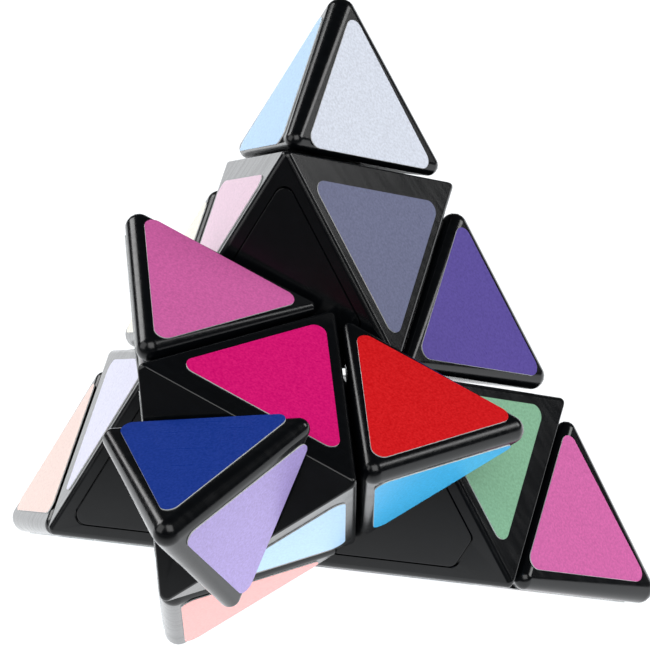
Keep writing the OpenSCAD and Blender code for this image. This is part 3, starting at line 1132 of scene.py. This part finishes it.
@dataclass
class Studio:
    """Pale floor, soft lights and the camera.

    The camera sees the floor and the room at the two seen strengths. Their
    light on the puzzle is set apart from that: the floor's goes from glow_front
    at fade_from to glow_back at fade_to, along Y, and the room's is room_glow.
    """

    layout: Layout
    eye: tuple[float, float, float] = (0.19500, -0.61115, 0.32263)
    azimuth: float = 16.932
    elevation: float = 23.151
    roll: float = -0.879
    lens: float = 299.2
    floor_reach: float = 6.0
    floor_seen: float = 1.1
    glow_front: float = 0.03
    glow_back: float = 1.65
    fade_from: float = -0.14
    fade_to: float = -0.03
    room_seen: float = 1.0
    room_glow: float = 0.04

    def build(self) -> None:
        """Build the whole studio."""
        self._floor()
        self._world()
        self._lights()
        self._camera()

    def _floor(self) -> None:
        """Lay the pale floor, whose glow on the puzzle fades towards the front."""
        def fill(work: bmesh.types.BMesh) -> None:
            """Add one square."""
            bmesh.ops.create_grid(work, x_segments=1, y_segments=1, size=self.floor_reach)

        mesh = mesh_from("floor", fill, Matrix.Identity(4))
        floor = new_object("floor", mesh)
        board = NodeBoard("pale_floor")
        split = board.add("ShaderNodeSeparateXYZ")
        board.join(board.place, split.inputs[0])
        board.shader.inputs["Base Color"].default_value = (0.05, 0.05, 0.05, 1)
        board.shader.inputs["Roughness"].default_value = 0.9
        board.shader.inputs["Emission Color"].default_value = (0.96, 0.98, 1, 1)
        seen = board.add("ShaderNodeLightPath")
        strength = board.add("ShaderNodeMix")
        board.join(seen.outputs["Is Camera Ray"], strength.inputs[0])
        glow = board.remap(split.outputs["Y"], self.fade_from, self.fade_to, self.glow_front,
                           self.glow_back)
        board.join(glow, strength.inputs[2])
        strength.inputs[3].default_value = self.floor_seen
        board.join(strength.outputs[0], board.shader.inputs["Emission Strength"])
        mesh.materials.append(board.material)

    def _world(self) -> None:
        """Make the room dim around the softboxes, with a white backdrop."""
        world = bpy.data.worlds.new("soft_room")
        world.use_nodes = True
        new, join = world.node_tree.nodes.new, world.node_tree.links.new
        back = world.node_tree.nodes["Background"]
        seen = new("ShaderNodeLightPath")
        strength = new("ShaderNodeMapRange")
        strength.inputs["To Min"].default_value = self.room_glow
        strength.inputs["To Max"].default_value = self.room_seen
        join(seen.outputs["Is Camera Ray"], strength.inputs["Value"])
        join(strength.outputs["Result"], back.inputs["Strength"])
        back.inputs["Color"].default_value = (1, 1, 1, 1)
        bpy.context.scene.world = world

    def _softbox(self, name: str, place: tuple[float, float, float], size: float,
                 power: float) -> None:
        """Hang one square softbox that faces the puzzle.

        Args:
            name: the light's name.
            place: its place.
            size: its side length.
            power: its power in watts.
        """
        light = bpy.data.lights.new(name, "AREA")
        light.shape, light.size, light.energy = "SQUARE", size, power
        thing = bpy.data.objects.new(name, light)
        place = Vector(place)
        aim = (self.layout.centre - place).to_track_quat("-Z", "Y")
        thing.matrix_world = Matrix.Translation(place) @ aim.to_matrix().to_4x4()
        bpy.context.scene.collection.objects.link(thing)

    def _lights(self) -> None:
        """Hang the softboxes."""
        self._softbox("front_right", (0.45, -0.75, 0.90), 1.0, 10.4)
        self._softbox("front_left", (-0.80, -0.66, 0.60), 1.0, 6.2)
        self._softbox("back_left", (-1.00, 0.30, 0.80), 0.6, 7)
        self._softbox("back_right", (1.00, 0.45, 0.70), 0.5, 5)

    def _camera(self) -> None:
        """Set the camera."""
        camera = bpy.data.cameras.new("camera")
        camera.lens, camera.sensor_width = self.lens, 36.0
        camera.clip_start, camera.clip_end = 0.01, 50.0
        thing = bpy.data.objects.new("camera", camera)
        turn = Matrix.Rotation(math.radians(self.azimuth), 4, "Z")
        turn = turn @ Matrix.Rotation(math.radians(90 - self.elevation), 4, "X")
        turn = turn @ Matrix.Rotation(math.radians(self.roll), 4, "Z")
        thing.matrix_world = Matrix.Translation(Vector(self.eye)) @ turn
        bpy.context.scene.collection.objects.link(thing)
        bpy.context.scene.camera = thing


def blocks(layout: Layout, plates: CutPlate) -> list[Block]:
    """List the puzzle's fourteen blocks.

    Args:
        layout: where the puzzle lies.
        plates: maker of the films.

    Returns:
        The blocks, not yet built. A block's shades go by the faces opposite
        the top, front, left and right corners, leaving out its own.
    """
    top, front, left, right = Corner.TOP, Corner.FRONT, Corner.LEFT, Corner.RIGHT
    still, layer, tip = Pose.STILL, Pose.LAYER, Pose.TIP
    tips = [
        (top, "top_tip", still, (Shade.NAVY, Shade.WHITE, Shade.ICE)),
        (left, "left_tip", still, (Shade.SKY, Shade.GREEN, Shade.PEACH)),
        (right, "right_tip", still, (Shade.RED, Shade.VIOLET, Shade.PINK)),
        (front, "front_tip", tip, (Shade.LILAC, Shade.NAVY, Shade.SLATE)),
    ]
    corner_blocks = [
        (top, "top_axial", "root", still, (Shade.MAGENTA, Shade.SLATE, Shade.BLUSH)),
        (left, "left_axial", "root", still, (Shade.VIOLET, Shade.PINK, Shade.LAVENDER)),
        (right, "right_axial", "root", still, (Shade.SKY, Shade.CREAM, Shade.GREEN)),
        (front, "front_axial", "front_layer", layer, (Shade.ICE, Shade.MAGENTA, Shade.WHITE)),
    ]
    edges = [
        ((top, left), "top_left_edge", "root", still, (Shade.SLATE, Shade.CREAM)),
        ((top, right), "top_right_edge", "root", still, (Shade.RED, Shade.VIOLET)),
        ((left, right), "left_right_edge", "root", still, (Shade.PINK, Shade.SLATE)),
        ((front, top), "front_top_edge", "front_layer", layer, (Shade.PINK, Shade.RED)),
        ((front, left), "front_left_edge", "front_layer", layer, (Shade.SALMON, Shade.GREEN)),
        ((front, right), "front_right_edge", "front_layer", layer, (Shade.SKY, Shade.RED)),
    ]
    keyed = {top: left, front: right, left: top, right: front}
    made: list[Block] = []
    for corner, name, pose, shades in tips:
        made.append(Tip(layout, plates, name, name, pose, corner=corner, shades=shades))
    for corner, name, body, pose, shades in corner_blocks:
        made.append(CornerBlock(layout, plates, name, body, pose, corner=corner,
                                shades=shades, keyed=keyed[corner]))
    for ends, name, body, pose, shades in edges:
        made.append(EdgeBlock(layout, plates, name, body, pose, ends=ends, shades=shades))
    return made


def main() -> None:
    """Build every piece around the frame, in order."""
    logging.basicConfig(level=logging.INFO, format="%(message)s")
    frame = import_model()
    bpy.context.scene.view_settings.view_transform = "Standard"
    layout = Layout.from_frame(Sizes(), frame["joints"])
    Studio(layout).build()
    count = InnerWorks(frame["nodes"]).dress()
    LOG.info("inner works: %d nodes dressed", count)
    plates = CutPlate()
    for block in blocks(layout, plates):
        block.build()
        LOG.info("%s: %d pieces on %s", block.name, len(block.made), block.body)


if __name__ == "__main__":
    main()
